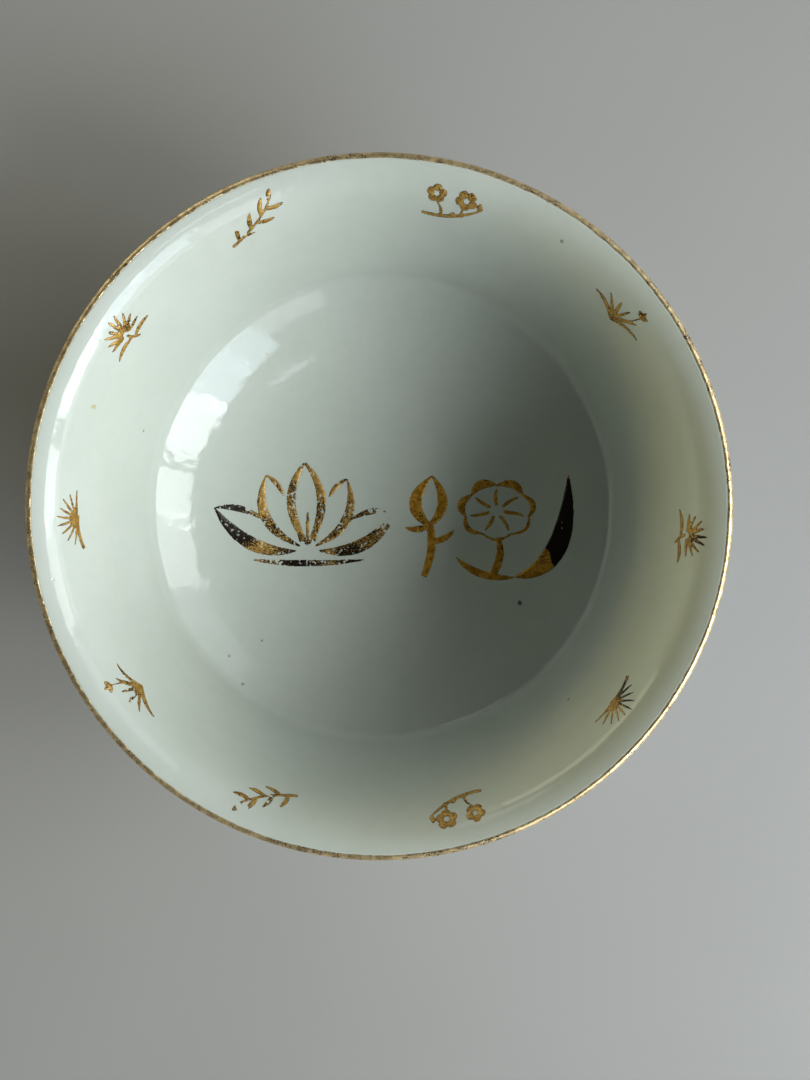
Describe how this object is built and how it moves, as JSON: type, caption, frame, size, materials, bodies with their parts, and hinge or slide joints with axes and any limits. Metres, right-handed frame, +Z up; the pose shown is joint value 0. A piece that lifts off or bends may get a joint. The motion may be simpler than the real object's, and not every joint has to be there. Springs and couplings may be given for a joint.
{
  "type": "gaiwan bowl",
  "caption": "Open porcelain tea bowl with a flared gilt lip, a creased wall, a low foot ring, pale glaze and gilt plant sprigs inside.",
  "frame": {"origin": "centre of the foot ring's resting edge, on the bowl's axis", "axes": "+Z up along the bowl's axis, out of its mouth; +X towards the right floor spray, +Y towards the tops of both floor sprays"},
  "size_m": [0.1, 0.1, 0.051],
  "materials": {
    "porcelain": "fine white fired paste under the glaze",
    "bare_porcelain": "bare, fine-grained, slightly warm where it fired",
    "clear_glaze": "glossy pale blue-green glaze with pinholes and specks",
    "rim_gold": "worn brown-gold rim line",
    "sprig_gold": "burnished orange gold, worn and darkened in places"
  },
  "bodies": {
    "root": {"porcelain_body": "porcelain", "foot_ring": "bare_porcelain", "inner_glaze": "clear_glaze", "outer_glaze": "clear_glaze", "foot_well_glaze": "clear_glaze", "rim_gilding": "rim_gold", "border_sprig_01": "sprig_gold", "border_sprig_02": "sprig_gold", "border_sprig_03": "sprig_gold", "border_sprig_04": "sprig_gold", "border_sprig_05": "sprig_gold", "border_sprig_06": "sprig_gold", "border_sprig_07": "sprig_gold", "border_sprig_08": "sprig_gold", "border_sprig_09": "sprig_gold", "border_sprig_10": "sprig_gold", "centre_sprig_left": "sprig_gold", "centre_sprig_right": "sprig_gold"}
  },
  "joints": []
}
